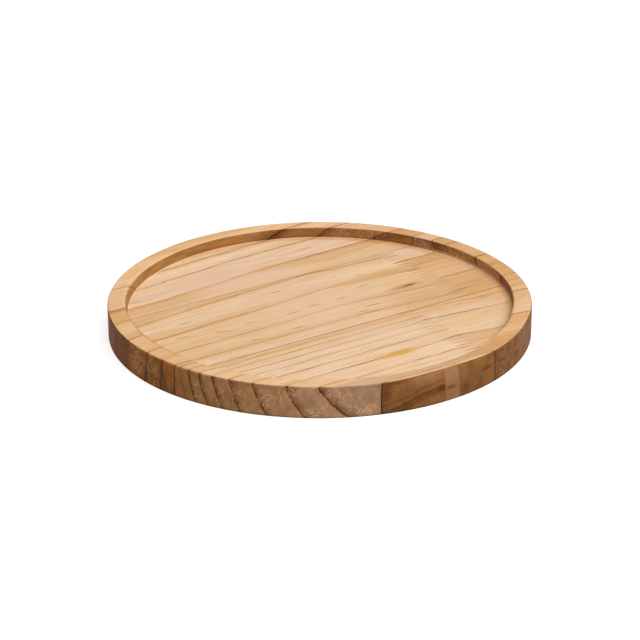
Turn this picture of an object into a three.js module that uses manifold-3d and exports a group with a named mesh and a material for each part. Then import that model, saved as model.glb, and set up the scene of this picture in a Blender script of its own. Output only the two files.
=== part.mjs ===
// A round wooden trivet with a raised rim: a disc cut from an edge-glued softwood panel.
// Wide staves lie side by side along X, and most of them are two lengths of timber that meet in a
// finger joint. The recess is routed out of the glued panel, so rim and floor are the same wood.
// Millimetres, +Z up. The origin is the centre of the base, and X runs along the grain.

import * as THREE from "three";
import { mergeVertices } from "three/addons/utils/BufferGeometryUtils.js";
import Module from "manifold-3d";

const wasm = await Module();
wasm.setup();

// The board
const BOARD_DIAMETER = 235;
const BOARD_THICKNESS = 18;
const RIM_WIDTH = 10;
const RECESS_DEPTH = 6;

// Eased edges
const OUTER_EDGE_RADIUS = 0.6;
const INNER_EDGE_RADIUS = 0.8;
const RECESS_CORNER_RADIUS = 0.6;
const BASE_EDGE_RADIUS = 0.6;

// The panel: widths of the staves from the front, where any after the list are as wide as its last.
// Of the first one the round cut leaves only a sliver.
const STAVE_WIDTHS = [77.7, 80.1, 77.7];
const FRONT_STAVE_DEPTH = 6;

// Middle of the finger joint along each stave, from the front; a stave past the list is one length
const FINGER_JOINT_X = [4.6, 36.5, 77];
const FINGER_LENGTH = 10;
const FINGER_PITCH = 3.8;
const FINGER_TIP = 0.6;

// Cured glue fills the joints and lies a little below the sanded wood
const GLUE_LINE = 0.25;
const GLUE_SETBACK = 0.15;
const BOND_CLEARANCE = 0.02;

// Steps of the round cuts: facets all the way round, and pairs of steps on an eased edge
const ROUND_SEGMENTS = 144;
const EDGE_DIVISIONS = 1;

// Timber colours, as the paler and browner lengths were sorted into the panel
const PALE_TIMBER = 0xe6c29c;
const HONEY_TIMBER = 0xe0b488;
const TAN_TIMBER = 0xd6a878;
const LEFT_COLOURS = [TAN_TIMBER, PALE_TIMBER, HONEY_TIMBER];
const RIGHT_COLOURS = [TAN_TIMBER, HONEY_TIMBER, TAN_TIMBER];
const TIMBER_ROUGHNESS = 0.62;
const GLUE_COLOUR = 0x9a7449;
const GLUE_ROUGHNESS = 0.5;

const RADIUS = BOARD_DIAMETER / 2;
const RECESS_RADIUS = RADIUS - RIM_WIDTH;
const FLOOR_HEIGHT = BOARD_THICKNESS - RECESS_DEPTH;
const CUT_MARGIN = BOARD_THICKNESS;
const STAVE_REACH = RADIUS + CUT_MARGIN;
const TIMBER_OFFSET = GLUE_LINE / 2;
const GLUE_OFFSET = TIMBER_OFFSET - BOND_CLEARANCE;

// A closed geometry as a solid that can be cut: shared corners merged, collapsed triangles left out.
function solidOf(geometry) {
  const bare = geometry.clone();
  bare.deleteAttribute("normal");
  bare.deleteAttribute("uv");
  const merged = mergeVertices(bare);
  const corners = merged.index.array;
  const triangles = [];
  for (let i = 0; i < corners.length; i += 3) {
    const [a, b, c] = corners.subarray(i, i + 3);
    if (a !== b && b !== c && c !== a) triangles.push(a, b, c);
  }
  const mesh = new wasm.Mesh({
    numProp: 3,
    vertProperties: merged.attributes.position.array,
    triVerts: new Uint32Array(triangles),
  });
  return new wasm.Manifold(mesh);
}

function geometryOf(solid) {
  const { vertProperties, triVerts } = solid.getMesh();
  const geometry = new THREE.BufferGeometry();
  geometry.setAttribute("position", new THREE.BufferAttribute(vertProperties, 3));
  geometry.setIndex(new THREE.BufferAttribute(triVerts, 1));
  const flat = geometry.toNonIndexed();
  flat.computeVertexNormals();
  return flat;
}

// Half of the board's section, from the middle of the recess floor round to the middle of the base.
// A setback moves every face into the wood, for what lies below the surface.
function boardSection(setback) {
  const outer = RADIUS - setback;
  const inner = RECESS_RADIUS + setback;
  const top = BOARD_THICKNESS - setback;
  const floor = FLOOR_HEIGHT - setback;
  const quarter = Math.PI / 2;
  const section = new THREE.Path();
  const edge = (x, y, radius, start, end) => section.absarc(x, y, radius, start, end, end < start);
  section.moveTo(0, floor);
  section.lineTo(inner - RECESS_CORNER_RADIUS, floor);
  edge(inner - RECESS_CORNER_RADIUS, floor + RECESS_CORNER_RADIUS, RECESS_CORNER_RADIUS, -quarter, 0);
  edge(inner + INNER_EDGE_RADIUS, top - INNER_EDGE_RADIUS, INNER_EDGE_RADIUS, 2 * quarter, quarter);
  edge(outer - OUTER_EDGE_RADIUS, top - OUTER_EDGE_RADIUS, OUTER_EDGE_RADIUS, quarter, 0);
  edge(outer - BASE_EDGE_RADIUS, setback + BASE_EDGE_RADIUS, BASE_EDGE_RADIUS, 0, -quarter);
  section.lineTo(0, setback);
  return section.getPoints(EDGE_DIVISIONS);
}

// The whole routed board, turned so that its axis is Z.
function boardSolid(setback) {
  const lathe = new THREE.LatheGeometry(boardSection(setback).reverse(), ROUND_SEGMENTS);
  lathe.rotateX(Math.PI / 2);
  return solidOf(lathe);
}

// A line across a stave, from its front edge to its back edge.
function straightLine(x, front, back) {
  return [new THREE.Vector2(x, front), new THREE.Vector2(x, back)];
}

// A finger is cut only where the disc holds all of it, so that no chip of it is left on its own.
function insideDisc(joint, middle) {
  const farEnd = Math.abs(joint) + FINGER_LENGTH / 2;
  const farSide = Math.abs(middle) + FINGER_PITCH / 2;
  return Math.hypot(farEnd, farSide) < RADIUS;
}

// Plan line of a finger joint from the front edge of a stave to its back edge, moved by an offset
// towards +X. The fingers of the left length point to +X, with flat tips and tapering sides.
function fingerLine(joint, front, back, offset) {
  const count = Math.floor((back - front) / FINGER_PITCH);
  const first = (front + back - (count - 1) * FINGER_PITCH) / 2;
  const root = joint - FINGER_LENGTH / 2 + offset;
  const tip = joint + FINGER_LENGTH / 2 + offset;
  const halfTip = FINGER_TIP / 2 + offset;
  const halfRoot = (FINGER_PITCH - FINGER_TIP) / 2 + offset;
  const line = [new THREE.Vector2(root, front)];
  for (let i = 0; i < count; i++) {
    const middle = first + i * FINGER_PITCH;
    if (!insideDisc(joint, middle)) continue;
    line.push(new THREE.Vector2(root, middle - halfRoot));
    line.push(new THREE.Vector2(tip, middle - halfTip));
    line.push(new THREE.Vector2(tip, middle + halfTip));
    line.push(new THREE.Vector2(root, middle + halfRoot));
  }
  line.push(new THREE.Vector2(root, back));
  return line;
}

// The upright prism, right through the board, over the plan area between two lines across a stave.
function prismBetween(left, right) {
  const shape = new THREE.Shape([...left, ...right.toReversed()]);
  const height = BOARD_THICKNESS + 2 * CUT_MARGIN;
  const geometry = new THREE.ExtrudeGeometry(shape, { depth: height, bevelEnabled: false });
  geometry.translate(0, 0, -CUT_MARGIN);
  return solidOf(geometry);
}

const timberBoard = boardSolid(0);
const glueBoard = boardSolid(GLUE_SETBACK);
const trivet = new THREE.Group();

function addPiece(name, solid, color, roughness) {
  const material = new THREE.MeshStandardMaterial({ color, roughness, metalness: 0 });
  const mesh = new THREE.Mesh(geometryOf(solid), material);
  mesh.name = name;
  trivet.add(mesh);
}

function addTimber(name, left, right, color) {
  addPiece(name, timberBoard.intersect(prismBetween(left, right)), color, TIMBER_ROUGHNESS);
}

function addGlue(name, left, right) {
  addPiece(name, glueBoard.intersect(prismBetween(left, right)), GLUE_COLOUR, GLUE_ROUGHNESS);
}

// One stave: a single length, or two lengths that interlock in a finger joint with its glue.
function addStave(number, staveFront, staveBack) {
  const front = staveFront + TIMBER_OFFSET;
  const back = staveBack - TIMBER_OFFSET;
  const leftEnd = straightLine(-STAVE_REACH, front, back);
  const rightEnd = straightLine(STAVE_REACH, front, back);
  const joint = FINGER_JOINT_X[number - 1];
  if (joint === undefined) {
    addTimber(`stave_${number}`, leftEnd, rightEnd, PALE_TIMBER);
    return;
  }
  const jointLine = (offset) => fingerLine(joint, front, back, offset);
  addTimber(`stave_${number}_left`, leftEnd, jointLine(-TIMBER_OFFSET), LEFT_COLOURS[number - 1]);
  addTimber(`stave_${number}_right`, jointLine(TIMBER_OFFSET), rightEnd, RIGHT_COLOURS[number - 1]);
  addGlue(`finger_glue_${number}`, jointLine(-GLUE_OFFSET), jointLine(GLUE_OFFSET));
}

// The straight glue line along the edge between a stave and the next one towards the back.
function addEdgeGlue(number, line) {
  const front = line - GLUE_OFFSET;
  const back = line + GLUE_OFFSET;
  const leftEnd = straightLine(-STAVE_REACH, front, back);
  const rightEnd = straightLine(STAVE_REACH, front, back);
  addGlue(`edge_glue_${number}_${number + 1}`, leftEnd, rightEnd);
}

// Staves, laid from the sliver at the front until they cover the disc.
let staveFront = -RADIUS + FRONT_STAVE_DEPTH - STAVE_WIDTHS[0];
for (let number = 1; staveFront < RADIUS; number++) {
  const width = STAVE_WIDTHS[number - 1] ?? STAVE_WIDTHS.at(-1);
  const staveBack = staveFront + width;
  addStave(number, staveFront, staveBack);
  if (staveBack < RADIUS) addEdgeGlue(number, staveBack);
  staveFront = staveBack;
}

export default trivet;
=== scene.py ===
import math
from dataclasses import dataclass, field

import bpy
from mathutils import Matrix, Vector


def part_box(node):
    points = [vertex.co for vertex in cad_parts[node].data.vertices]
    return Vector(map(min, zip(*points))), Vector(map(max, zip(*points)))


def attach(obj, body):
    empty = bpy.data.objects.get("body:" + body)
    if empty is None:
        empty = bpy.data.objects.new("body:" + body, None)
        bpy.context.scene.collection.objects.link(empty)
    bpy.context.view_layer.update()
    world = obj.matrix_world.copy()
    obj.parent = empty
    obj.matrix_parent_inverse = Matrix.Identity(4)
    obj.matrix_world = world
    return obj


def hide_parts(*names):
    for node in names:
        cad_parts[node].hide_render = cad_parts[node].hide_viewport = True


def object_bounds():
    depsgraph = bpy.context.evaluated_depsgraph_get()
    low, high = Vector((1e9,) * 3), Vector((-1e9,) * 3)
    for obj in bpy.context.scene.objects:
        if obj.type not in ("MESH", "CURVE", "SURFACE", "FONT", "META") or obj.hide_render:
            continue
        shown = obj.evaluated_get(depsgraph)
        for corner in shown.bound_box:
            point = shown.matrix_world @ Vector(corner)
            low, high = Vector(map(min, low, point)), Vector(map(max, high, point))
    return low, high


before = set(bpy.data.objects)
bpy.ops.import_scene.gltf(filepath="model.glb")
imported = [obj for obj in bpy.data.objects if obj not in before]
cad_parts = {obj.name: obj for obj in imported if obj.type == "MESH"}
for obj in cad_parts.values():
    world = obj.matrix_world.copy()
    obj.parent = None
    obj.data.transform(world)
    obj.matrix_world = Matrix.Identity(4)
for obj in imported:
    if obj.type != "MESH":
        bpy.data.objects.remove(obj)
cad_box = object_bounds()

# Sizes are in millimetres until a mesh, lamp or camera is made in metres.
MM = 0.001

# The board, read from the frame
RADIUS = cad_box[1].x / MM
THICKNESS = cad_box[1].z / MM
EDGE_GLUE = ("edge_glue_1_2", "edge_glue_2_3", "edge_glue_3_4")
FINGER_GLUE = ("finger_glue_1", "finger_glue_2", "finger_glue_3")


def node_middle(node, axis):
    low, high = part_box(node)
    return (low[axis] + high[axis]) / 2 / MM


GLUE_Y = [node_middle(node, 1) for node in EDGE_GLUE]
JOINT_X = [node_middle(node, 0) for node in FINGER_GLUE]

# The routed section and its eased edges
RIM_WIDTH = 10.0
RECESS_DEPTH = 6.0
OUTER_EDGE = 0.6
INNER_EDGE = 0.8
RECESS_CORNER = 0.6
BASE_EDGE = 0.6
RECESS_RADIUS = RADIUS - RIM_WIDTH
FLOOR = THICKNESS - RECESS_DEPTH

# The joints between the lengths of timber
FINGER_LENGTH = 10.0
FINGER_PITCH = 3.8
FINGER_TIP = 0.6
GLUE_LINE = 0.25
BOND_CLEARANCE = 0.02
FINGER_GLUE_SETBACK = 0.03
EDGE_GLUE_SETBACK = 0.06
TIMBER_OFFSET = GLUE_LINE / 2
GLUE_OFFSET = TIMBER_OFFSET - BOND_CLEARANCE
CUT_MARGIN = THICKNESS
STAVE_REACH = RADIUS + CUT_MARGIN
FIRST_STAVE_WIDTH = 77.7
STAVE_EDGES = [GLUE_Y[0] - FIRST_STAVE_WIDTH] + GLUE_Y + [STAVE_REACH]

# Steps of the turned surfaces, rings on the flat faces, how far the last ring lies from an eased edge,
# and the angle up to which faces are shaded smooth
ROUND_STEPS = 720
EDGE_STEPS = 6
RECESS_ROWS = 4
RIM_ROWS = 7
WALL_ROWS = 14
FLAT_RINGS = (40.0, 75.0, 98.0)
SUPPORT = 0.5
SMOOTH_ANGLE = math.radians(35)

# Hand sanding leaves the eased edges uneven: size, waves round the board and phase
SANDING = ((0.12, 5, 0.4), (0.08, 13, 1.9), (0.05, 31, 4.0))

# Stretches round the board, each with a middle and half a length in degrees and a size. Worn edges have
# a larger radius, the outer wall leans in at its top from the height of its foot, and the recess is
# narrower.
WORN_RECESS_EDGE = ((136, 32, 1.7),)
WORN_OUTER_EDGE = ((-52, 18, 0.9), (-168, 24, 1.2))
LEANING_WALL = ((-90, 21, 2.8),)
LEAN_FOOT = 8.0
RECESS_INSET = ((178, 54, 1.8), (-48, 30, 1.4))

# How far the recess wall leans out towards its top
RECESS_FLARE = 0.5


def srgb(red, green, blue):
    """A colour written in 0 to 255 steps, as the linear colour that a shader takes."""
    def linear(step):
        level = step / 255
        return level / 12.92 if level <= 0.04045 else ((level + 0.055) / 1.055) ** 2.4
    return (linear(red), linear(green), linear(blue), 1.0)


# Wood and glue tones
WHITE = (1, 1, 1, 1)
PALE = srgb(249, 214, 176)
CREAM = srgb(240, 206, 170)
PINK = srgb(239, 202, 170)
STRAW = srgb(235, 197, 154)
ASH = srgb(222, 189, 158)
HONEY = srgb(229, 185, 138)
TAN = srgb(220, 174, 124)
BROWN = srgb(192, 140, 88)
LATEWOOD = srgb(168, 108, 40)
AMBER = srgb(204, 146, 70)
RESIN = srgb(226, 164, 78)
KNOT = srgb(158, 98, 44)
STREAK = srgb(104, 56, 18)
RED_BROWN = srgb(94, 40, 14)
FLANK = srgb(188, 136, 98)
WALL_TAN = srgb(132, 84, 42)
PORE = srgb(255, 214, 162)
GLUE_DARK = srgb(172, 114, 44)
GLUE_BROWN = srgb(156, 102, 50)
GLUE_PALE = srgb(228, 186, 140)
GLUE_TAN = srgb(214, 168, 118)
SEAM = srgb(146, 94, 32)
WALL_SEAM = srgb(56, 28, 12)

# Shares of red, green and blue that are kept: by glue on upright faces, by wood on the rim, and by wood
# where it is mottled
EDGE_GLUE_WALL = (0.22, 0.16, 0.14, 1)
FINGER_GLUE_WALL = (0.5, 0.4, 0.32, 1)
RIM_TINT = (0.975, 0.9, 0.785, 1)
MOTTLE_TINT = (0.995, 0.955, 0.88, 1)


# Meshes

def link(name, mesh):
    piece = bpy.data.objects.new(name, mesh)
    bpy.context.scene.collection.objects.link(piece)
    return piece


def solid(name, points, faces):
    mesh = bpy.data.meshes.new(name)
    mesh.from_pydata([Vector(point) * MM for point in points], [], faces)
    mesh.validate()
    return link(name, mesh)


def between(start, end, count):
    """Values that part the way from start to end evenly, without the two ends."""
    return [start + (end - start) * i / count for i in range(1, count)]


def sanding(angle):
    """How much larger than its plain size an eased edge is at an angle round the board."""
    return sum(size * math.sin(waves * angle + phase) for size, waves, phase in SANDING)


def swelling(angle, stretches):
    """The sum at an angle of stretches that each swell smoothly to their size in the middle."""
    total = 0.0
    for middle, half, size in stretches:
        away = abs((math.degrees(angle) - middle + 180) % 360 - 180)
        total += size * (1 + math.cos(math.pi * min(away / half, 1.0))) / 2
    return total


def outer_at(angle, height):
    """Radius of the outer wall, which is upright but for its sanded front."""
    share = max(0.0, (height - LEAN_FOOT) / (THICKNESS - LEAN_FOOT))
    return RADIUS - swelling(angle, LEANING_WALL) * share ** 2


def arc(radius_at, height_at, size, start, end):
    """Points (radius, height) of an eased edge; the angles are in degrees."""
    points = []
    for i in range(EDGE_STEPS + 1):
        angle = math.radians(start + (end - start) * i / EDGE_STEPS)
        points.append((radius_at + size * math.cos(angle), height_at + size * math.sin(angle)))
    return points


def board_section(setback, angle):
    """Half of the section, from near the middle of the recess floor round to near that of the base.
    A setback moves every face into the wood."""
    outer = RADIUS - setback
    inner = RECESS_RADIUS + setback - swelling(angle, RECESS_INSET)
    top = THICKNESS - setback
    floor = FLOOR - setback
    outer_top = outer_at(angle, THICKNESS) - setback
    outer_edge = OUTER_EDGE + sanding(angle) + swelling(angle, WORN_OUTER_EDGE)
    inner_edge = INNER_EDGE + sanding(angle) + swelling(angle, WORN_RECESS_EDGE)
    section = [(ring, floor) for ring in FLAT_RINGS]
    section.append((inner - RECESS_CORNER - SUPPORT, floor))
    section += arc(inner - RECESS_CORNER, floor + RECESS_CORNER, RECESS_CORNER, -90, 0)
    wall_foot = floor + RECESS_CORNER
    wall_top = top - inner_edge
    for height in between(wall_foot, wall_top, RECESS_ROWS):
        section.append((inner + RECESS_FLARE * (height - wall_foot) / (wall_top - wall_foot), height))
    lip = inner + RECESS_FLARE + inner_edge
    section += arc(lip, wall_top, inner_edge, 180, 90)
    section += [(ring, top) for ring in between(lip, outer_top - outer_edge, RIM_ROWS)]
    section += arc(outer_top - outer_edge, top - outer_edge, outer_edge, 90, 0)
    for height in between(top - outer_edge, setback + BASE_EDGE, WALL_ROWS):
        section.append((outer_at(angle, height) - setback, height))
    section += arc(outer - BASE_EDGE, setback + BASE_EDGE, BASE_EDGE, 0, -90)
    section.append((outer - BASE_EDGE - SUPPORT, setback))
    section += [(ring, setback) for ring in reversed(FLAT_RINGS)]
    return section


def turned_board(setback):
    """The whole routed board as one closed mesh, which the pieces are cut from."""
    angles = [2 * math.pi * i / ROUND_STEPS for i in range(ROUND_STEPS)]
    sections = [board_section(setback, angle) for angle in angles]
    last = len(sections[0]) - 1
    floor, base = sections[0][0][1], sections[0][last][1]
    points = [(0.0, 0.0, floor), (0.0, 0.0, base)]
    first = len(points)
    for row in range(last + 1):
        for angle, section in zip(angles, sections):
            ring, height = section[row]
            points.append((ring * math.cos(angle), ring * math.sin(angle), height))

    def corner(row, i):
        return first + row * ROUND_STEPS + i % ROUND_STEPS

    faces = []
    for i in range(ROUND_STEPS):
        faces.append((0, corner(0, i), corner(0, i + 1)))
        for row in range(last):
            faces.append((corner(row, i), corner(row + 1, i), corner(row + 1, i + 1), corner(row, i + 1)))
        faces.append((1, corner(last, i + 1), corner(last, i)))
    return solid("board", points, faces)


def straight_line(x, front, back):
    return [(x, front), (x, back)]


def inside_disc(joint, middle):
    return math.hypot(abs(joint) + FINGER_LENGTH / 2, abs(middle) + FINGER_PITCH / 2) < RADIUS


def finger_line(joint, front, back, offset):
    """Plan line of a finger joint across a stave, moved by an offset towards +X."""
    count = int((back - front) / FINGER_PITCH)
    first = (front + back - (count - 1) * FINGER_PITCH) / 2
    root = joint - FINGER_LENGTH / 2 + offset
    tip = joint + FINGER_LENGTH / 2 + offset
    half_tip = FINGER_TIP / 2 + offset
    half_root = (FINGER_PITCH - FINGER_TIP) / 2 + offset
    line = [(root, front)]
    for i in range(count):
        middle = first + i * FINGER_PITCH
        if inside_disc(joint, middle):
            line.append((root, middle - half_root))
            line.append((tip, middle - half_tip))
            line.append((tip, middle + half_tip))
            line.append((root, middle + half_root))
    line.append((root, back))
    return line


def joint_line(stave, offset):
    front = STAVE_EDGES[stave] + TIMBER_OFFSET
    back = STAVE_EDGES[stave + 1] - TIMBER_OFFSET
    return finger_line(JOINT_X[stave], front, back, offset)


def end_line(stave, x):
    return straight_line(x, STAVE_EDGES[stave] + TIMBER_OFFSET, STAVE_EDGES[stave + 1] - TIMBER_OFFSET)


def prism_between(left, right):
    """A prism right through the board over the plan area between two lines across a stave."""
    plan = left[::-1] + right
    count = len(plan)
    points = [(x, y, -CUT_MARGIN) for x, y in plan]
    points += [(x, y, THICKNESS + CUT_MARGIN) for x, y in plan]
    faces = [tuple(range(count))[::-1], tuple(range(count, 2 * count))]
    for i in range(count):
        after = (i + 1) % count
        faces.append((i, after, count + after, count + i))
    return solid("prism", points, faces)


def cut_piece(name, board, left, right):
    """The part of the board between two lines, as a new smooth-shaded piece."""
    piece = link(name, board.data)
    cut = piece.modifiers.new("cut", "BOOLEAN")
    cut.operation = "INTERSECT"
    cut.solver = "MANIFOLD"
    cut.object = prism_between(left, right)
    depsgraph = bpy.context.evaluated_depsgraph_get()
    mesh = bpy.data.meshes.new_from_object(piece.evaluated_get(depsgraph))
    bpy.data.objects.remove(cut.object)
    piece.modifiers.clear()
    piece.data = mesh
    mesh.name = name
    mesh.shade_smooth()
    mesh.set_sharp_from_angle(angle=SMOOTH_ANGLE)
    normals = piece.modifiers.new("normals", "WEIGHTED_NORMAL")
    normals.keep_sharp = True
    return piece


def stand_for(piece, node, material):
    piece.data.materials.clear()
    piece.data.materials.append(material)
    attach(piece, "root")
    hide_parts(node)


# Timber

# Marks: the share of the outline that is soft, of stains and of clusters of pores. Dashes on the floor
# and lines on the rim have half sizes across the grain and in depth, and a strength.
STAIN_SOFT = 0.9
PORE_SOFT = 0.6
DASH_LENGTH = 7.0
DASH_SECTION = (0.8, 6.0)
DASH_SHARE = 0.95
RIM_LINE_SECTION = (0.9, 5.0)
RIM_LINE_SHARE = 0.75


@dataclass
class Ring:
    """A growth ring: its y on the recess floor, how dark it is, how far it fades towards the pith,
    and where along X it is seen."""
    place: float
    strength: float
    fade: float
    start: float = -2 * RADIUS
    end: float = 2 * RADIUS


@dataclass
class Patch:
    """A mark in the wood, such as a knot or a resin streak: its middle, half sizes, tone, strength
    and the share of its outline that is soft."""
    centre: tuple
    size: tuple
    tone: tuple
    share: float
    soft: float = STAIN_SOFT


@dataclass
class Timber:
    """One length of timber in a stave, which is counted from 0 at the front. Its rings are rounds
    about the pith, which lies at (y, z), runs along X and wavers by the wave, or by one that turns
    into another towards the back. Each ring ends sharply on its outer side. The ground gives tones by
    their y on the recess floor. Upright faces keep only a share of red, green and blue, for end
    grain that is darker and for painted shade: the flank share along the grain and the end share
    across it. They have rings, marks and clusters of pale pores of their own. The tear is how torn
    the end grain is, and the seams are how dark the glue has stained the front and back edge."""
    node: str
    slot: str
    stave: int
    side: str
    pith: tuple
    wave: list
    rings: list
    ground: list
    flank: tuple
    end: tuple
    wave_back: list = None
    patches: list = field(default_factory=list)
    wall_rings: list = field(default_factory=list)
    wall_marks: list = field(default_factory=list)
    clusters: list = field(default_factory=list)
    tear: float = 0.5
    seams: tuple = (0.0, 0.0)
    rim: tuple = RIM_TINT

    def radius(self, place):
        """Distance from the pith of a ring that meets the recess floor at a place across the grain."""
        return math.hypot(place - self.pith[0], FLOOR - self.pith[1])


def dashes(places):
    """Short dark marks along the grain of the recess floor."""
    size = (DASH_LENGTH, *DASH_SECTION)
    return [Patch((x, y, FLOOR), size, BROWN, DASH_SHARE) for x, y in places]


def rim_lines(places):
    """Thin lines along the grain of the rim, each given by its middle and half its length."""
    lines = []
    for x, y, length in places:
        lines.append(Patch((x, y, THICKNESS), (length, *RIM_LINE_SECTION), BROWN, RIM_LINE_SHARE))
    return lines


def on_wall(degrees, height):
    """A point on the outer wall."""
    angle = math.radians(degrees)
    return (RADIUS * math.cos(angle), RADIUS * math.sin(angle), height)


def wall_mark(degrees, height, wide, tall, tone, share, soft=STAIN_SOFT):
    """A mark on the outer wall, given by half its width and half its height."""
    return Patch(on_wall(degrees, height), (wide, wide, tall), tone, share, soft)


def pores(degrees, height, wide, tall, share):
    """A cluster of pale pores on the outer wall."""
    return wall_mark(degrees, height, wide, tall, PORE, share, PORE_SOFT)


# The front edge: the paler block at the finger joint, and marks along the run of the dark ring
JOINT_BLOCK = Patch((4.6, -117, 9), (5.2, 60, 60), FLANK, 0.6, 0.25)
FRONT_BAND = [
    wall_mark(degrees, height, 6, 2.4, STREAK, 0.65)
    for degrees, height in ((-103.5, 2.0), (-101.2, 4.2), (-98.5, 6.3), (-95.5, 7.8), (-92, 8.6))
]

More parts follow.
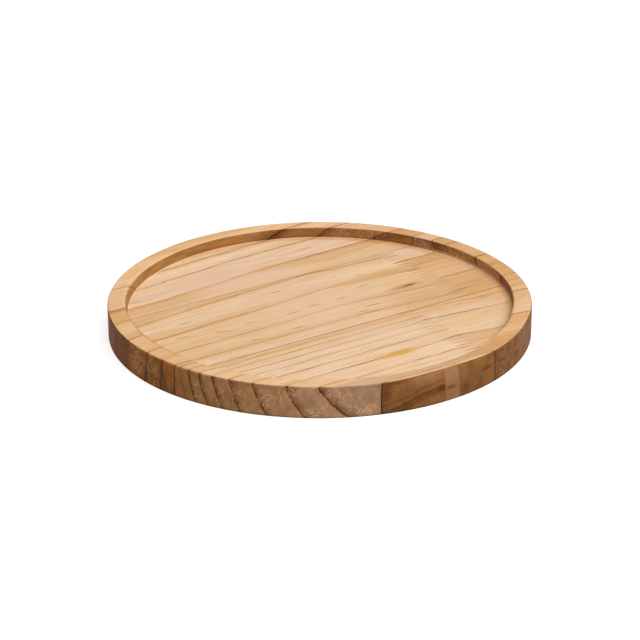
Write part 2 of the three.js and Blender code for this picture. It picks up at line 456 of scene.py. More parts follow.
TIMBERS = [
    Timber(
        "stave_4", "pale_timber", 3, "whole", pith=(38.5, -21),
        wave=[(-117, -7.5), (-70, -6.8), (-50, -5), (-30, -3.3), (-10, -0.6), (10, 0.8), (37, 2.2),
              (63, 3.1), (117, 5)],
        rings=[Ring(66, 0.6, 2.5), Ring(76.5, 0.3, 1.2, 18, 52), Ring(87.3, 0.65, 1.6),
               Ring(101.0, 0.5, 3, -50)],
        ground=[(46, STRAW), (54, STRAW), (57, HONEY), (61, HONEY), (65.8, HONEY), (66.6, PINK), (78, PINK),
                (86, CREAM), (88, PINK), (95, PALE), (99, CREAM), (101, STRAW), (103, PALE),
                (109, PALE), (114, STRAW)],
        flank=(0.43, 0.295, 0.145, 1), end=(0.50, 0.37, 0.21, 1),
        wall_rings=[Ring(66, 1.0, 9, 0), Ring(87.3, 0.9, 5, 0), Ring(101.0, 0.9, 5, -50)],
        patches=[Patch((-12, 57, 12), (55, 12, 30), PINK, 0.85), Patch((98, 56, 18), (16, 16, 8), TAN, 0.5),
                 Patch((0, 99, 12), (34, 2.6, 8), AMBER, 0.35)],
        wall_marks=[Patch((75, 82, 14), (58, 58, 40), WALL_TAN, 0.32),
                    Patch((33, 102, 15), (12, 9, 20), RED_BROWN, 0.35)],
        clusters=[Patch((80, 76, 15), (26, 26, 20), PORE, 0.3, PORE_SOFT)],
        tear=0.4, seams=(0.2, 0), rim=(0.985, 0.885, 0.74, 1),
    ),
    Timber(
        "stave_3_left", "honey_timber", 2, "left", pith=(85, 26),
        wave=[(-117, -0.5), (-108, 2.2), (-97, 2.5), (-60, 0.4), (-30, 0.3), (0, -0.1), (20, -0.1),
              (40, -1.9), (60, -3.9), (80, -5)],
        wave_back=[(-117, -12), (-108, -9.6), (-97, -9), (-80, -7.4), (-60, -4.8), (-40, -3.5), (-20, -1.9),
                   (0, -0.2), (12, 0.8), (24, 1.1), (40, -0.5), (57, -1.9), (85, -3.8)],
        rings=[Ring(-20.8, 0.55, 2), Ring(-20.8, 0.95, 3.5, 30), Ring(-4.6, 0.6, 2), Ring(19.6, 0.65, 3),
               Ring(43.6, 0.55, 2.5)],
        ground=[(-32, PINK), (-24, STRAW), (-20, HONEY), (-14, STRAW), (-8, STRAW), (-4, HONEY),
                (4, STRAW), (17, STRAW), (20, HONEY), (26, STRAW), (34, CREAM), (42, STRAW),
                (44, HONEY), (48, HONEY)],
        flank=(0.5, 0.30, 0.16, 1), end=(0.51, 0.275, 0.115, 1),
        patches=[
            Patch((0, 4, 12), (55, 48, 30), PINK, 0.6),
            Patch((62, -18, 12), (36, 17, 20), TAN, 0.8),
            Patch((55, 21, 12), (34, 8, 20), TAN, 0.9),
            Patch((60, -29, 12), (30, 6, 20), TAN, 0.5),
            Patch((60, -0.6, 12), (22, 5, 8), BROWN, 0.4),
            Patch((57, -1.3, 12), (12, 2.2, 8), BROWN, 0.8),
            Patch((60.5, -0.7, 12), (6.5, 1.7, 8), KNOT, 0.95),
        ] + dashes(
            [(-62, 2.5), (-43, 5), (-73, 24), (-16, 3), (0, 5), (18, 5), (27, -13), (-25, -16),
             (-53, -17), (18, -17), (38, 13), (46, 27), (-8, 33), (-84, 8)]),
        wall_rings=[Ring(-20.8, 1.0, 3), Ring(-4.6, 1.0, 4), Ring(19.6, 1.0, 13), Ring(43.6, 1.0, 12)],
        wall_marks=[wall_mark(-193, 9, 26, 40, RED_BROWN, 0.6)],
        clusters=[pores(-186, 9, 50, 40, 0.1), pores(-180, 10, 11, 11, 0.85), pores(-172.5, 8, 8, 11, 0.8)],
        tear=1.0, seams=(0.6, 0.2),
    ),
    Timber(
        "stave_3_right", "tan_timber", 2, "right", pith=(70, -13),
        wave=[(70, 0), (117, 0)],
        rings=[Ring(-22.5, 0.6, 1.5), Ring(-17, 0.6, 1.5), Ring(-3, 0.6, 2), Ring(21, 0.35, 2),
               Ring(30, 0.6, 2)],
        ground=[(-32, TAN), (-12, TAN), (0, HONEY), (12, HONEY), (22, TAN), (29.5, TAN), (30.5, STRAW),
                (36, PINK), (46, PINK)],
        flank=(0.5, 0.4, 0.3, 1), end=(0.59, 0.47, 0.37, 1),
        wall_rings=[Ring(30, 0.9, 14), Ring(-3, 0.7, 2), Ring(-17, 0.7, 2)],
        wall_marks=[
            Patch((97, 45, 15), (9, 9, 20), WALL_TAN, 0.35),
            # Painted highlight: a pale patch where the lip of the recess wall at the right catches the
            # light
            Patch((106, -15, 15), (16, 16, 20), FLANK, 0.9),
            Patch((103, 30, 15), (10, 10, 20), RED_BROWN, 0.4),
            Patch((103, 30.5, 15.5), (3.4, 3.4, 4.5), STREAK, 0.7),
            Patch((103.5, -29.5, 15.5), (3, 3, 4.5), STREAK, 0.7),
        ],
        clusters=[Patch((95, 50, 15), (26, 30, 20), PORE, 0.25, PORE_SOFT)],
        tear=1.35, seams=(0.65, 0.25), rim=(0.985, 0.935, 0.86, 1),
    ),
    Timber(
        "stave_2_left", "pale_timber", 1, "left", pith=(-171, 41),
        wave=[(-117, -0.6), (-85, -0.3), (-25, 0), (60, 0)],
        rings=[Ring(-99, 0.6, 2), Ring(-87.5, 0.55, 1.6), Ring(-74.2, 0.6, 1.6), Ring(-63.3, 0.55, 1.3),
               Ring(-54.7, 0.4, 1.3), Ring(-47.5, 0.5, 1.5), Ring(-41, 0.55, 1.5), Ring(-35.5, 0.45, 1.2)],
        ground=[(-112, ASH), (-104, ASH), (-100, CREAM), (-80, CREAM), (-60, CREAM), (-50, CREAM),
                (-44, STRAW), (-40, STRAW), (-31, HONEY)],
        flank=(0.72, 0.58, 0.51, 1), end=(0.64, 0.42, 0.26, 1),
        patches=[
            Patch((0, -45, 12), (45, 22, 30), PINK, 0.45),
            Patch((2, -74.5, 12), (20, 5, 8), RESIN, 1.0),
            Patch((29, -109, 18), (17, 8, 14), TAN, 0.85),
        ] + rim_lines([(10, -109.2, 34), (22, -106.4, 24)]),
        wall_rings=[Ring(-99, 0.95, 4), Ring(-87.5, 0.95, 4), Ring(-74.2, 0.95, 3.5),
                    Ring(-63.3, 0.95, 3.5), Ring(-54.7, 0.9, 3), Ring(-47.5, 0.9, 3), Ring(-41, 0.9, 3)],
        clusters=[
            pores(-138, 9, 60, 40, 0.25), pores(-157, 7, 7, 9, 0.65), pores(-150.5, 8, 5, 10, 0.6),
            pores(-145, 8, 6, 9, 0.75), pores(-136.5, 10, 11, 9, 0.95), pores(-131, 14, 7, 6, 0.8),
            pores(-125.5, 5, 8, 7, 0.9), pores(-119, 12.5, 9, 7, 0.85), pores(-115.5, 8, 7, 6, 0.75),
            pores(-112, 3.5, 10, 5, 0.85),
        ],
        seams=(0.2, 0.6),
    ),
    Timber(
        "stave_2_right", "honey_timber", 1, "right", pith=(-160, 5),
        wave=[(30, 0.2), (37, 0), (57, -2.5), (80, -5), (117, -8)],
        rings=[Ring(-92, 0.35, 1.5), Ring(-73, 0.6, 1.8), Ring(-45.8, 0.6, 2), Ring(-31.2, 0.45, 1.2)],
        ground=[(-112, TAN), (-97, TAN), (-92, STRAW), (-82, HONEY), (-74, HONEY), (-72, CREAM),
                (-66, CREAM), (-56, STRAW), (-46, STRAW), (-45, CREAM), (-36, HONEY), (-31, HONEY)],
        flank=(0.31, 0.205, 0.125, 1), end=(0.347, 0.249, 0.219, 1),
        wall_rings=[Ring(-73, 0.5, 2), Ring(-92, 0.4, 2)],
        wall_marks=[wall_mark(-68.6, 10.5, 5, 1.5, STREAK, 0.75), wall_mark(-62, 13, 6, 2, STREAK, 0.3)],
        clusters=[pores(-62, 8, 30, 30, 0.2), pores(-68, 5, 6, 7, 0.35)],
        seams=(0.1, 0.6),
    ),
    Timber(
        "stave_1_left", "tan_timber", 0, "left", pith=(-146, -50),
        wave=[(-45, -5), (-28, -4.2), (-16, 0), (-2, 5.1), (12, 9.8)],
        rings=[], patches=rim_lines([(0, -112.8, 36)]),
        ground=[(-140, CREAM), (-117, CREAM), (-100, CREAM)],
        flank=(0.36, 0.22, 0.095, 1), end=(0.36, 0.22, 0.095, 1),
        wall_marks=[
            # Painted light: the first, pale mark lightens the top of the front wall, where it faces up more
            wall_mark(-95, 15, 15, 5, FLANK, 0.3), wall_mark(-106.8, 12, 4.5, 9, STREAK, 0.7),
            wall_mark(-104.5, 17, 8, 3, STREAK, 0.6), wall_mark(-90.8, 8.7, 5, 2.6, STREAK, 0.95),
            *FRONT_BAND, JOINT_BLOCK,
        ],
        wall_rings=[Ring(-138.4, 0.4, 3), Ring(-128, 0.3, 2), Ring(-119, 0.3, 2)],
        seams=(0, 0.35),
    ),
    Timber(
        "stave_1_right", "tan_timber", 0, "right", pith=(-146, -50),
        wave=[(0, 3), (10, 4), (26, 9), (38, 11)],
        rings=[], patches=rim_lines([(0, -112.8, 36)]),
        ground=[(-140, CREAM), (-117, CREAM), (-100, CREAM)],
        flank=(0.325, 0.2, 0.09, 1), end=(0.325, 0.2, 0.09, 1),
        wall_marks=[
            JOINT_BLOCK,
            wall_mark(-88.3, 7.8, 5.5, 2, STREAK, 0.65), wall_mark(-75, 10.6, 8, 1.7, STREAK, 0.75),
            wall_mark(-83.3, 5, 5, 4.5, STREAK, 0.6), wall_mark(-79, 2, 6, 2.5, STREAK, 0.4),
        ],
        seams=(0, 0.15),
    ),
]


# Shader graphs

# Sockets of a mix node that mixes colours
MIX_FIRST, MIX_SECOND, MIX_RESULT = 6, 7, 2


class Graph:
    """A material's node tree. A value is a number, a colour or another node's output."""

    def __init__(self, name):
        self.material = bpy.data.materials.new(name)
        self.material.use_nodes = True
        self.tree = self.material.node_tree
        self.shader = self.tree.nodes["Principled BSDF"]

    def add(self, kind, inputs, **settings):
        node = self.tree.nodes.new(kind)
        for key, value in settings.items():
            setattr(node, key, value)
        for key, value in inputs.items():
            self.feed(node.inputs[key], value)
        return node

    def feed(self, socket, value):
        if isinstance(value, bpy.types.NodeSocket):
            self.tree.links.new(value, socket)
        else:
            socket.default_value = value

    def math(self, operation, first, second=0.0):
        return self.add("ShaderNodeMath", {0: first, 1: second}, operation=operation).outputs[0]

    def product(self, first, *others):
        for other in others:
            first = self.math("MULTIPLY", first, other)
        return first

    def vector(self, operation, first, second):
        return self.add("ShaderNodeVectorMath", {0: first, 1: second}, operation=operation).outputs[0]

    def scale(self, vector, factor):
        return self.add("ShaderNodeVectorMath", {0: vector, "Scale": factor}, operation="SCALE").outputs[0]

    def length(self, vector):
        return self.add("ShaderNodeVectorMath", {0: vector}, operation="LENGTH").outputs["Value"]

    def split(self, vector):
        return self.add("ShaderNodeSeparateXYZ", {0: vector}).outputs

    def join(self, x, y, z):
        return self.add("ShaderNodeCombineXYZ", {0: x, 1: y, 2: z}).outputs[0]

    def millimetres(self):
        """The place of a point in the part's own frame."""
        return self.scale(self.add("ShaderNodeTexCoord", {}).outputs["Object"], 1 / MM)

    def normal(self):
        """The parts of the surface's direction along X, Y and Z."""
        return self.split(self.add("ShaderNodeNewGeometry", {}).outputs["Normal"])

    def noise(self, place, waves, detail=2.0, roughness=0.5):
        """Noise from 0 to 1, with its waves counted per millimetre along each axis."""
        waved = self.vector("MULTIPLY", place, waves)
        inputs = {"Vector": waved, "Scale": 1.0, "Detail": detail, "Roughness": roughness}
        return self.add("ShaderNodeTexNoise", inputs).outputs["Fac"]

    def remap(self, value, low, high, to_low=0.0, to_high=1.0, shape="SMOOTHSTEP"):
        """A value from low to high, moved smoothly to another range and held at its ends."""
        inputs = {"Value": value, "From Min": low, "From Max": high, "To Min": to_low, "To Max": to_high}
        return self.add("ShaderNodeMapRange", inputs, interpolation_type=shape).outputs["Result"]

    def straight(self, value, low, high, to_low=0.0, to_high=1.0):
        return self.remap(value, low, high, to_low, to_high, "LINEAR")

    def swing(self, value, size, low=0.0, high=1.0):
        """A value from low to high, as one from -size to size."""
        return self.straight(value, low, high, -size, size)

    def inverse(self, value):
        return self.math("SUBTRACT", 1.0, value)

    def mix(self, share, first, second, blend="MIX"):
        node = self.add("ShaderNodeMix", {0: share}, data_type="RGBA", blend_type=blend)
        self.feed(node.inputs[MIX_FIRST], first)
        self.feed(node.inputs[MIX_SECOND], second)
        return node.outputs[MIX_RESULT]

    def ramp(self, value, stops):
        """A ramp through stops (place from 0 to 1, colour)."""
        node = self.add("ShaderNodeValToRGB", {"Fac": value})
        elements = node.color_ramp.elements
        while len(elements) < len(stops):
            elements.new(1.0)
        for element, (place, colour) in zip(elements, stops):
            element.position = place
            element.color = colour
        return node.outputs["Color"]

    def curve(self, value, points):
        """A smooth curve through points from 0 to 1 both ways."""
        node = self.add("ShaderNodeFloatCurve", {"Value": value})
        line = node.mapping.curves[0]
        while len(line.points) < len(points):
            line.points.new(0.5, 0.5)
        for point, place in zip(line.points, points):
            point.location = place
        node.mapping.update()
        return node.outputs[0]

    def surface(self, values):
        """The finished material, with the values of its surface by their names."""
        for key, value in values.items():
            self.feed(self.shader.inputs[key], value)
        return self.material


# Waves of the rings along a length: the span of offsets, and how far back from the stave's front edge
# the second wave takes over
WAVE_SPAN = 40.0
WAVE_BLEND = 51.0

# Rings: the dark line on the outer side, where it is full, its soft edge, the share that the fade
# reaches, and the length over which a ring that stops dies away
RING_LINE = 1.1
RING_LINE_FULL = RING_LINE / 3
RING_EDGE = 0.3
RING_FADE_SHARE = 0.6
RING_END = 10.0

# Faces: the upward parts of a normal between which a face turns from level to upright. The soft lip of
# the recess turns later than the outer edges, and two radii part them. Then the parts of a normal along
# X between which a face turns from flank to end grain.
LEVEL, UPRIGHT = 0.985, 0.75
LIP_LEVEL, LIP_UPRIGHT = 0.93, 0.42
LIP_END, OUTER_START = RECESS_RADIUS + 3.5, RECESS_RADIUS + 5
ALONG_GRAIN, ACROSS_GRAIN = 0.35, 0.9

# Heights between which the wood takes the tone of the rim
RIM_START, RIM_FULL = FLOOR + 1, FLOOR + 4

# Stretches round the recess, given by a middle and half a length in degrees, and the middle share of
# each that has its full tone
STRETCH_FULL = 0.6

# Painted shade darkens stretches of the recess edge: how far past the recess radius the dark line of
# each is full and has faded, and how dark it is
EDGE_SHADE_STRETCHES = ((-190, 29, -0.4, 0.4), (-45, 17, 0.1, 0.9))
EDGE_SHADE_SHARE = 0.45

# Painted shade makes the floor by the wall browner at the back, and painted light makes it warmer and
# lighter at the right: their tints, how far past the recess radius they begin and are full, and how far
# from the floor's height they are full and end
CORNER_PAINTED_LIGHTING = ((60, 54, (0.86, 0.74, 0.6, 1)), (-36, 30, (1.2, 1.09, 0.95, 1)))
CORNER_LIGHTING_START, CORNER_LIGHTING_FULL = -6.5, -2.0
FLOOR_NEAR, FLOOR_FAR = 1.0, 2.0

# Painted light: an uneven pale band at the foot of the wall at the right, placed in the same way, and how
# pale it is
FOOT_LIGHT_STRETCH = (-10, 36)
FOOT_LIGHT_START, FOOT_LIGHT_FULL = -2.2, -0.6
FOOT_LIGHT_SHARE = 0.6

# Glue stains along the long edges of a stave: where they end and are full
SEAM_END, SEAM_FULL = 0.6, 0.1

# Shades of upright faces: dark rings, blotches, which torn timber has more of, and painted contact shadow
# at the foot
WALL_RING_SHADE = 0.6
BLOTCH_SHADE = 0.22
BLOTCH_BASE = 0.5
FOOT_SHADOW_HEIGHT = 1.6
FOOT_CONTACT_SHADOW = 0.55

# Noises, in waves per millimetre along X, Y and Z, and how far they are moved from timber to timber
SLOW_WAVER = (0.03, 0.05, 0.05)
QUICK_WAVER = (0.15, 0.4, 0.4)
CLOUDS = (0.02, 0.1, 0.1)
MOTTLE = (0.035, 0.14, 0.14)
WARMTH = (0.025, 0.1, 0.1)
RING_BREAKS = (0.03, 0.1, 0.1)
FINE_FIBRES = (0.04, 1.5, 1.5)
BROAD_FIBRES = (0.012, 0.3, 0.3)
CANALS = (0.08, 1.2, 1.2)
CANAL_CROWDS = (0.015, 0.1, 0.1)
PORE_DOTS = (1.5, 1.5, 1.5)
PORE_CROWDS = (0.25, 0.25, 0.25)
SEAM_BREAKS = (0.15, 0.6, 0.6)
FOOT_LIGHT_BREAKS = (1.2, 1.2, 0.4)
TORN_GRAIN = (1.2, 1.4, 0.4)
OUTER_BLOTCHES = (0.16, 0.16, 0.12)
ROUTER_STREAKS = (0.06, 0.06, 0.5)
GLUE_CLOUDS = (0.12, 0.5, 0.5)
WANDER_STEP = (37.0, 11.0, 5.0)

# The range that most of a noise lies in
NOISE_LOW, NOISE_HIGH = 0.3, 0.7

# Values of a noise at which something begins to show and is full
MOTTLE_SHOWS = (0.4, 0.65)
WARMTH_SHOWS = (0.45, 0.6)
CANALS_SHOW = (0.63, 0.72)
CANAL_CROWDS_SHOW = (0.42, 0.58)
PORE_DOTS_SHOW = (0.5, 0.6)
PORE_CROWDS_SHOW = (0.35, 0.55)
FOOT_LIGHT_BREAKS_SHOW = (0.35, 0.65)
GLUE_CLOUDS_SHOW = (0.45, 0.7)

# How far the noises move, shade or change what they touch
SLOW_WAVER_SIZE = 1.2
QUICK_WAVER_SIZE = 0.7
CLOUD_SIZE = 2.0
FINE_SHADE = 0.3
BROAD_SHADE = 0.14
CANAL_SHARE = 0.55
RAGGED_OUTLINE = 0.45
RING_STRENGTHS = (0.8, 1.9)
SEAM_BREADTHS = (0.6, 1.3)
FOOT_LIGHT_STRENGTHS = (0.4, 1.2)

# Surfaces
EARLYWOOD_ROUGHNESS, LATEWOOD_ROUGHNESS = 0.7, 0.55
WOOD_SPECULAR = 0.12
FIBRE_BUMP = 0.35
FIBRE_HEIGHT = 0.15
GLUE_ROUGHNESS = (0.4, 0.65)
GLUE_SPECULAR = 0.05


def axis_distance(graph, place):
    """The distance of a point from the board's axis."""
    return graph.length(graph.vector("MULTIPLY", place, (1.0, 1.0, 0.0)))


def past_recess(graph, place):
    """How far a point lies outside the recess radius."""
    return graph.math("SUBTRACT", axis_distance(graph, place), RECESS_RADIUS)


def outer_share(graph, place):
    """How far a point lies past the lip of the recess, from 0 to 1."""
    return graph.straight(axis_distance(graph, place), LIP_END, OUTER_START)


def upright_share(graph, place):
    """How far a face is upright, from 0 on level faces to 1 on walls."""
    outer = outer_share(graph, place)
    level = graph.straight(outer, 0, 1, LIP_LEVEL, LEVEL)
    upright = graph.straight(outer, 0, 1, LIP_UPRIGHT, UPRIGHT)
    return graph.remap(graph.math("ABSOLUTE", graph.normal()[2]), level, upright)


def wave_along(graph, x, wave):
    points = [(0.5 + at / RADIUS / 2, 0.5 + offset / WAVE_SPAN) for at, offset in wave]
    return graph.swing(graph.curve(graph.straight(x, -RADIUS, RADIUS), points), WAVE_SPAN / 2)


def from_pith(graph, timber, place, wander):
    """The distance of a point from the pith in millimetres, with a little natural waver."""
    x, y, z = graph.split(place)
    wave = wave_along(graph, x, timber.wave)
    if timber.wave_back:
        front = STAVE_EDGES[timber.stave]
        share = graph.straight(y, front, front + WAVE_BLEND)
        further = graph.math("SUBTRACT", wave_along(graph, x, timber.wave_back), wave)
        wave = graph.math("ADD", wave, graph.product(further, share))
    slow = graph.swing(graph.noise(wander, SLOW_WAVER), SLOW_WAVER_SIZE)
    quick = graph.swing(graph.noise(wander, QUICK_WAVER, detail=3), QUICK_WAVER_SIZE)
    across = graph.math("ADD", graph.math("SUBTRACT", y, wave), graph.math("ADD", slow, quick))
    across = graph.math("SUBTRACT", across, timber.pith[0])
    return graph.length(graph.join(0.0, across, graph.math("SUBTRACT", z, timber.pith[1])))


def latewood(graph, timber, rings, distance, x):
    """How dark the rings are at a point, from 0 to 1."""
    late = 0.0
    for each in rings:
        past = graph.math("SUBTRACT", distance, timber.radius(each.place))
        fade = graph.remap(past, -each.fade, 0, 0, each.strength * RING_FADE_SHARE)
        line = graph.remap(past, -RING_LINE, -RING_LINE_FULL, 0, each.strength)
        line = graph.product(graph.math("MAXIMUM", fade, line), graph.remap(past, 0, RING_EDGE, 1, 0))
        if each.start > -RADIUS:
            line = graph.product(line, graph.remap(x, each.start, each.start + RING_END))
        if each.end < RADIUS:
            line = graph.product(line, graph.remap(x, each.end, each.end - RING_END))
        late = graph.math("MAXIMUM", line, late)
    return late


def wood_colour(graph, timber, wander, distance, late):
    """The ground between the rings, cloudy and mottled, and the rings from brown to amber."""
    stops = sorted((timber.radius(at), tone) for at, tone in timber.ground)
    low, high = stops[0][0], stops[-1][0]
    cloud = graph.swing(graph.noise(wander, CLOUDS), CLOUD_SIZE)
    along = graph.straight(graph.math("ADD", distance, cloud), low, high)
    colour = graph.ramp(along, [((at - low) / (high - low), tone) for at, tone in stops])
    mottle = graph.remap(graph.noise(wander, MOTTLE, detail=3), *MOTTLE_SHOWS)
    colour = graph.mix(mottle, colour, MOTTLE_TINT, "MULTIPLY")
    warm = graph.remap(graph.noise(wander, WARMTH), *WARMTH_SHOWS)
    return graph.mix(late, colour, graph.mix(warm, LATEWOOD, AMBER))


def fibrous(graph, wander, fine, upright, colour):
    """A colour shaded by fibres along X, with short dark resin canals on level faces."""
    broad = graph.swing(graph.noise(wander, BROAD_FIBRES, detail=3), BROAD_SHADE)
    shade = graph.math("ADD", graph.swing(fine, FINE_SHADE), broad)
    colour = graph.scale(colour, graph.math("ADD", 1.0, shade))
    canal = graph.remap(graph.noise(wander, CANALS, detail=1), *CANALS_SHOW, 0, CANAL_SHARE)
    crowd = graph.remap(graph.noise(wander, CANAL_CROWDS), *CANAL_CROWDS_SHOW)
    return graph.mix(graph.product(canal, crowd, graph.inverse(upright)), colour, BROWN)


def marked(graph, place, fine, colour, patches, limit=1.0):
    """A colour with marks on it, whose outlines follow the fibres."""
    for patch in patches:
        away = graph.vector("DIVIDE", graph.vector("SUBTRACT", place, patch.centre), patch.size)
        away = graph.math("ADD", graph.length(away), graph.swing(fine, RAGGED_OUTLINE * patch.soft))
        share = graph.remap(away, 1.0, 1.0 - patch.soft, 0, patch.share)
        colour = graph.mix(graph.product(share, limit), colour, patch.tone)
    return colour


def pore_dots(graph, timber, place, wander):
    """Pale dots in clusters, from 0 to 1, as torn pores show on end grain."""
    within = 0.0
    for cluster in timber.clusters:
        away = graph.vector("DIVIDE", graph.vector("SUBTRACT", place, cluster.centre), cluster.size)
        share = graph.remap(graph.length(away), 1.0, 1.0 - cluster.soft, 0, cluster.share)
        within = graph.math("MAXIMUM", share, within)
    dots = graph.remap(graph.noise(wander, PORE_DOTS, detail=2, roughness=0.6), *PORE_DOTS_SHOW)
    crowd = graph.remap(graph.noise(wander, PORE_CROWDS), *PORE_CROWDS_SHOW)
    return graph.product(within, dots, crowd)


def seam_stain(graph, timber, y, wander):
    """Where glue has darkened the wood along the stave's two long edges, from 0 to 1."""
    uneven = graph.straight(graph.noise(wander, SEAM_BREAKS), NOISE_LOW, NOISE_HIGH, *SEAM_BREADTHS)
    stain = 0.0
    for edge, strength in zip(STAVE_EDGES[timber.stave:timber.stave + 2], timber.seams):
        away = graph.math("ABSOLUTE", graph.math("SUBTRACT", y, edge))
        line = graph.remap(graph.product(away, uneven), SEAM_END, SEAM_FULL, 0, strength)
        stain = graph.math("MAXIMUM", line, stain)
    return stain


def stretch(graph, place, middle, half):
    """How far a point lies within a stretch round the board, from 0 to 1."""
    angle = math.radians(middle)
    x, y, _ = graph.split(graph.vector("MULTIPLY", place, (math.cos(angle), math.sin(angle), 0.0)))
    ahead = graph.math("DIVIDE", graph.math("ADD", x, y), axis_distance(graph, place))
    return graph.remap(ahead, math.cos(math.radians(half)), math.cos(math.radians(half * STRETCH_FULL)))


def painted_edge_shade(graph, place):
    """Where painted shade darkens the top of the recess edge, from 0 to 1."""
    past = past_recess(graph, place)
    dark = 0.0
    for middle, half, full, end in EDGE_SHADE_STRETCHES:
        line = graph.remap(past, end, full, 0, EDGE_SHADE_SHARE)
        dark = graph.math("MAXIMUM", graph.product(line, stretch(graph, place, middle, half)), dark)
    return dark


def in_corner(graph, place, start, full):
    """How far a point lies in the corner of the recess, from 0 to 1."""
    above = graph.math("SUBTRACT", graph.split(place)[2], FLOOR)
    level = graph.remap(graph.math("ABSOLUTE", above), FLOOR_FAR, FLOOR_NEAR)
    return graph.product(graph.remap(past_recess(graph, place), start, full), level)


def painted_foot_light(graph, place, wander):
    """Where painted light lies in a pale band at the foot of the wall, from 0 to 1."""
    uneven = graph.straight(graph.noise(wander, FOOT_LIGHT_BREAKS), *FOOT_LIGHT_BREAKS_SHOW, *FOOT_LIGHT_STRENGTHS)
    corner = in_corner(graph, place, FOOT_LIGHT_START, FOOT_LIGHT_FULL)
    return graph.product(corner, stretch(graph, place, *FOOT_LIGHT_STRETCH), uneven, FOOT_LIGHT_SHARE)


def painted_corner_lighting(graph, place, colour):
    """A colour with painted shade on the recess floor by the wall at the back and painted light by it at
    the right.
    """
    corner = in_corner(graph, place, CORNER_LIGHTING_START, CORNER_LIGHTING_FULL)
    for middle, half, tint in CORNER_PAINTED_LIGHTING:
        share = graph.product(corner, stretch(graph, place, middle, half))
        colour = graph.mix(share, colour, tint, "MULTIPLY")
    return colour


def rim_toned(graph, timber, place, upright, colour):
    """A colour as it is on the rim, which is warmer than the routed floor, with a line of painted shade
    along stretches of the recess edge.
    """
    height = graph.split(place)[2]
    rim = graph.product(graph.remap(height, RIM_START, RIM_FULL), graph.inverse(upright))
    colour = graph.mix(rim, colour, timber.rim, "MULTIPLY")
    # Painted shade: a dark line in the knot's tone along stretches of the recess edge
    return graph.mix(graph.product(rim, painted_edge_shade(graph, place)), colour, KNOT)


def wall_shade(graph, timber, place, wander, end, walls):
    """How much lighter or darker than plain an upright face is: torn end grain, blotches or streaks,
    dark rings and painted contact shadow at the foot."""
    torn = graph.noise(wander, TORN_GRAIN, detail=4, roughness=0.85)
    torn = graph.product(graph.swing(torn, timber.tear / 2, NOISE_LOW, NOISE_HIGH), end)
    streak = graph.noise(wander, ROUTER_STREAKS)
    blotch = graph.noise(wander, OUTER_BLOTCHES)
    blotch = graph.straight(outer_share(graph, place), 0, 1, streak, blotch)
    blotch = graph.swing(blotch, BLOTCH_SHADE * (BLOTCH_BASE + timber.tear), NOISE_LOW, NOISE_HIGH)
    # Painted contact shadow: upright faces darken towards the floor
    foot = graph.remap(graph.split(place)[2], FOOT_SHADOW_HEIGHT, 0, 0, FOOT_CONTACT_SHADOW)
    dark = graph.math("ADD", graph.product(walls, WALL_RING_SHADE), foot)
    return graph.math("SUBTRACT", graph.math("ADD", torn, blotch), dark)


def wall_toned(graph, timber, place, wander, fine, walls, upright, colour):
    """A colour as it is on upright faces, which are darker, partly as painted shade, and rougher, with
    marks and pale pores.
    """
    end = graph.remap(graph.math("ABSOLUTE", graph.normal()[0]), ALONG_GRAIN, ACROSS_GRAIN)
    colour = graph.mix(upright, colour, graph.mix(end, timber.flank, timber.end), "MULTIPLY")
    shade = graph.product(wall_shade(graph, timber, place, wander, end, walls), upright)
    colour = graph.scale(colour, graph.math("ADD", 1.0, shade))
    colour = marked(graph, place, fine, colour, timber.wall_marks, upright)
    return graph.mix(graph.product(pore_dots(graph, timber, place, wander), upright), colour, PORE)


def timber_material(number, timber):
    """Softwood as a solid texture: rings, fibres, resin canals and darker, rougher upright faces."""
    graph = Graph(timber.node)
    place = graph.millimetres()
    wander = graph.vector("ADD", place, [step * number for step in WANDER_STEP])
    x, y, _ = graph.split(place)
    upright = upright_share(graph, place)
    fine = graph.noise(wander, FINE_FIBRES, detail=3, roughness=0.6)

    # Rings, which come and go a little along their length and are stronger on the walls
    distance = from_pith(graph, timber, place, wander)
    late = latewood(graph, timber, timber.rings, distance, x)
    breaks = graph.noise(wander, RING_BREAKS, detail=3)
    late = graph.product(late, graph.straight(breaks, NOISE_LOW, NOISE_HIGH, *RING_STRENGTHS))
    walls = latewood(graph, timber, timber.wall_rings, distance, x)
    late = graph.math("MAXIMUM", late, graph.product(walls, upright))
    late = graph.math("MINIMUM", late, 1.0)

    colour = wood_colour(graph, timber, wander, distance, late)
    colour = fibrous(graph, wander, fine, upright, colour)
    colour = marked(graph, place, fine, colour, timber.patches)
    colour = rim_toned(graph, timber, place, upright, colour)
    # Painted shade and painted light on the recess floor by the wall
    colour = painted_corner_lighting(graph, place, colour)
    colour = wall_toned(graph, timber, place, wander, fine, walls, upright, colour)
    # Painted light: a pale band on the floor at the foot of the wall at the right
    colour = graph.mix(painted_foot_light(graph, place, wander), colour, PALE)
    seam = graph.mix(upright, SEAM, WALL_SEAM)
    colour = graph.mix(seam_stain(graph, timber, y, wander), colour, seam)

    relief = {"Strength": FIBRE_BUMP, "Distance": FIBRE_HEIGHT * MM, "Height": fine}
    return graph.surface({
        "Base Color": colour,
        "Roughness": graph.straight(late, 0, 1, EARLYWOOD_ROUGHNESS, LATEWOOD_ROUGHNESS),
        "Specular IOR Level": WOOD_SPECULAR,
        "Normal": graph.add("ShaderNodeBump", relief).outputs["Normal"],
    })


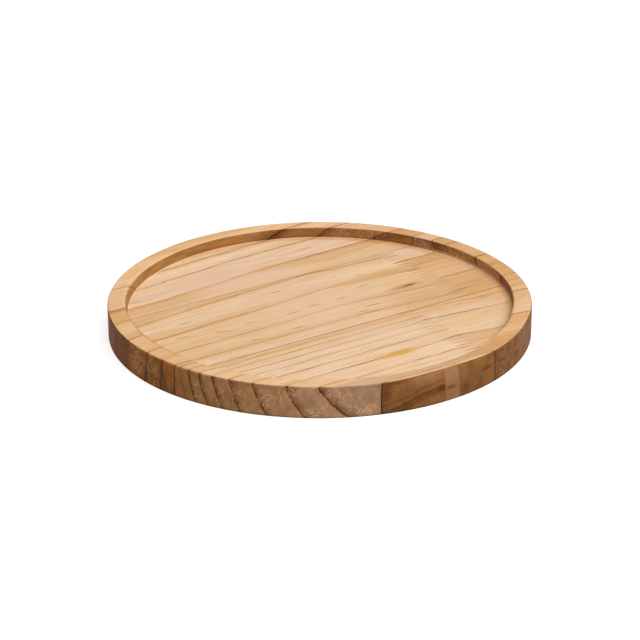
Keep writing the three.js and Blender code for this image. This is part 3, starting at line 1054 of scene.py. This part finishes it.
def glue_material(name, tone, other, wall_tint):
    """Cured glue in two cloudy tones, darker on upright faces."""
    graph = Graph(name)
    place = graph.millimetres()
    cloud = graph.noise(place, GLUE_CLOUDS, detail=3)
    colour = graph.mix(graph.remap(cloud, *GLUE_CLOUDS_SHOW), tone, other)
    return graph.surface({
        "Base Color": graph.mix(upright_share(graph, place), colour, wall_tint, "MULTIPLY"),
        "Roughness": graph.straight(cloud, 0, 1, *GLUE_ROUGHNESS),
        "Specular IOR Level": GLUE_SPECULAR,
    })


def build_timbers():
    board = turned_board(0.0)
    for number, timber in enumerate(TIMBERS):
        left = end_line(timber.stave, -STAVE_REACH)
        right = end_line(timber.stave, STAVE_REACH)
        if timber.side == "left":
            right = joint_line(timber.stave, -TIMBER_OFFSET)
        if timber.side == "right":
            left = joint_line(timber.stave, TIMBER_OFFSET)
        piece = cut_piece(timber.node + "_wood", board, left, right)
        stand_for(piece, timber.node, timber_material(number, timber))
    bpy.data.objects.remove(board)


def build_glue():
    """The finger joints' glue is sanded nearly flush; the edge joints keep their open line."""
    board = turned_board(FINGER_GLUE_SETBACK)
    pale = glue_material("finger_glue", GLUE_PALE, GLUE_TAN, FINGER_GLUE_WALL)
    for stave, node in enumerate(FINGER_GLUE):
        left = joint_line(stave, -GLUE_OFFSET)
        right = joint_line(stave, GLUE_OFFSET)
        stand_for(cut_piece(node + "_film", board, left, right), node, pale)
    bpy.data.objects.remove(board)
    board = turned_board(EDGE_GLUE_SETBACK)
    dark = glue_material("edge_glue", GLUE_DARK, GLUE_BROWN, EDGE_GLUE_WALL)
    for line, node in zip(GLUE_Y, EDGE_GLUE):
        left = straight_line(-STAVE_REACH, line - GLUE_OFFSET, line + GLUE_OFFSET)
        right = straight_line(STAVE_REACH, line - GLUE_OFFSET, line + GLUE_OFFSET)
        stand_for(cut_piece(node + "_film", board, left, right), node, dark)
    bpy.data.objects.remove(board)


# The photograph's camera, with a long lens: its turn round the board, its height and roll, its distance
# in radii of the board, the size of the picture, the focal length in its pixels, and how far the middle
# of the board lies from the middle of the picture
VIEW_AZIMUTH = math.radians(-34.0)
VIEW_ELEVATION = math.radians(23.18)
VIEW_ROLL = math.radians(-0.18)
VIEW_RADII = 12.3
VIEW_DISTANCE = VIEW_RADII * RADIUS * MM
FRAME_PIXELS = 640
FOCAL_PIXELS = 2598.7
CENTRE_RIGHT_PIXELS = -0.23
CENTRE_UP_PIXELS = 6.97


def add_camera():
    data = bpy.data.cameras.new("camera")
    data.lens = FOCAL_PIXELS / FRAME_PIXELS * data.sensor_width
    data.shift_x = -CENTRE_RIGHT_PIXELS / FRAME_PIXELS
    data.shift_y = -CENTRE_UP_PIXELS / FRAME_PIXELS
    camera = bpy.data.objects.new("camera", data)
    bpy.context.scene.collection.objects.link(camera)
    flat = math.cos(VIEW_ELEVATION)
    back = Vector((math.sin(VIEW_AZIMUTH) * flat, -math.cos(VIEW_AZIMUTH) * flat, math.sin(VIEW_ELEVATION)))
    middle = Vector((0, 0, THICKNESS / 2 * MM))
    turn = (-back).to_track_quat("-Z", "Y").to_matrix() @ Matrix.Rotation(VIEW_ROLL, 3, "Z")
    camera.matrix_world = Matrix.Translation(middle + back * VIEW_DISTANCE) @ turn.to_4x4()
    bpy.context.scene.camera = camera


# Studio: a pale floor, an even sky and one wide soft lamp, high up in front of the board. The floor and
# the backdrop are brighter to look at than the light they give.
FLOOR_HALF = 4.0
FLOOR_COLOUR = srgb(170, 168, 165)
FLOOR_ROUGHNESS = 0.9
FLOOR_GLOW = 0.82
SKY_LEVEL = 0.3
BACKDROP_LEVEL = 1.0
LAMP_SIZE = 2.4
LAMP_PLACE = Vector((0.55, -1.25, 2.2))
LAMP_WATTS = 59.0


def seen_directly(nodes, links):
    """A socket that is 1 for rays that show the background itself, straight or in a reflection."""
    path = nodes.new("ShaderNodeLightPath")
    most = path.outputs["Is Camera Ray"]
    for name in ("Is Glossy Ray", "Is Transmission Ray"):
        larger = nodes.new("ShaderNodeMath")
        larger.operation = "MAXIMUM"
        links.new(most, larger.inputs[0])
        links.new(path.outputs[name], larger.inputs[1])
        most = larger.outputs[0]
    return most


def add_floor():
    half = FLOOR_HALF
    corners = [(-half, -half, 0), (half, -half, 0), (half, half, 0), (-half, half, 0)]
    mesh = bpy.data.meshes.new("floor")
    mesh.from_pydata(corners, [], [(0, 1, 2, 3)])
    floor = link("floor", mesh)
    graph = Graph("floor")
    seen = seen_directly(graph.tree.nodes, graph.tree.links)
    material = graph.surface({
        "Base Color": FLOOR_COLOUR,
        "Roughness": FLOOR_ROUGHNESS,
        "Specular IOR Level": 0.0,
        "Emission Color": WHITE,
        "Emission Strength": graph.product(seen, FLOOR_GLOW),
    })
    mesh.materials.append(material)


def add_light():
    world = bpy.data.worlds.new("studio")
    world.use_nodes = True
    nodes, links = world.node_tree.nodes, world.node_tree.links
    backdrop = nodes["Background"]
    backdrop.inputs["Color"].default_value = WHITE
    strength = nodes.new("ShaderNodeMapRange")
    links.new(seen_directly(nodes, links), strength.inputs["Value"])
    strength.inputs["To Min"].default_value = SKY_LEVEL
    strength.inputs["To Max"].default_value = BACKDROP_LEVEL
    links.new(strength.outputs["Result"], backdrop.inputs["Strength"])
    bpy.context.scene.world = world
    lamp = bpy.data.lights.new("softbox", "AREA")
    lamp.shape = "DISK"
    lamp.size = LAMP_SIZE
    lamp.energy = LAMP_WATTS
    softbox = bpy.data.objects.new("softbox", lamp)
    softbox.location = LAMP_PLACE
    softbox.rotation_euler = (-LAMP_PLACE).to_track_quat("-Z", "Y").to_euler()
    bpy.context.scene.collection.objects.link(softbox)


add_camera()
build_timbers()
build_glue()
add_floor()
add_light()
bpy.context.scene.view_settings.view_transform = "Standard"
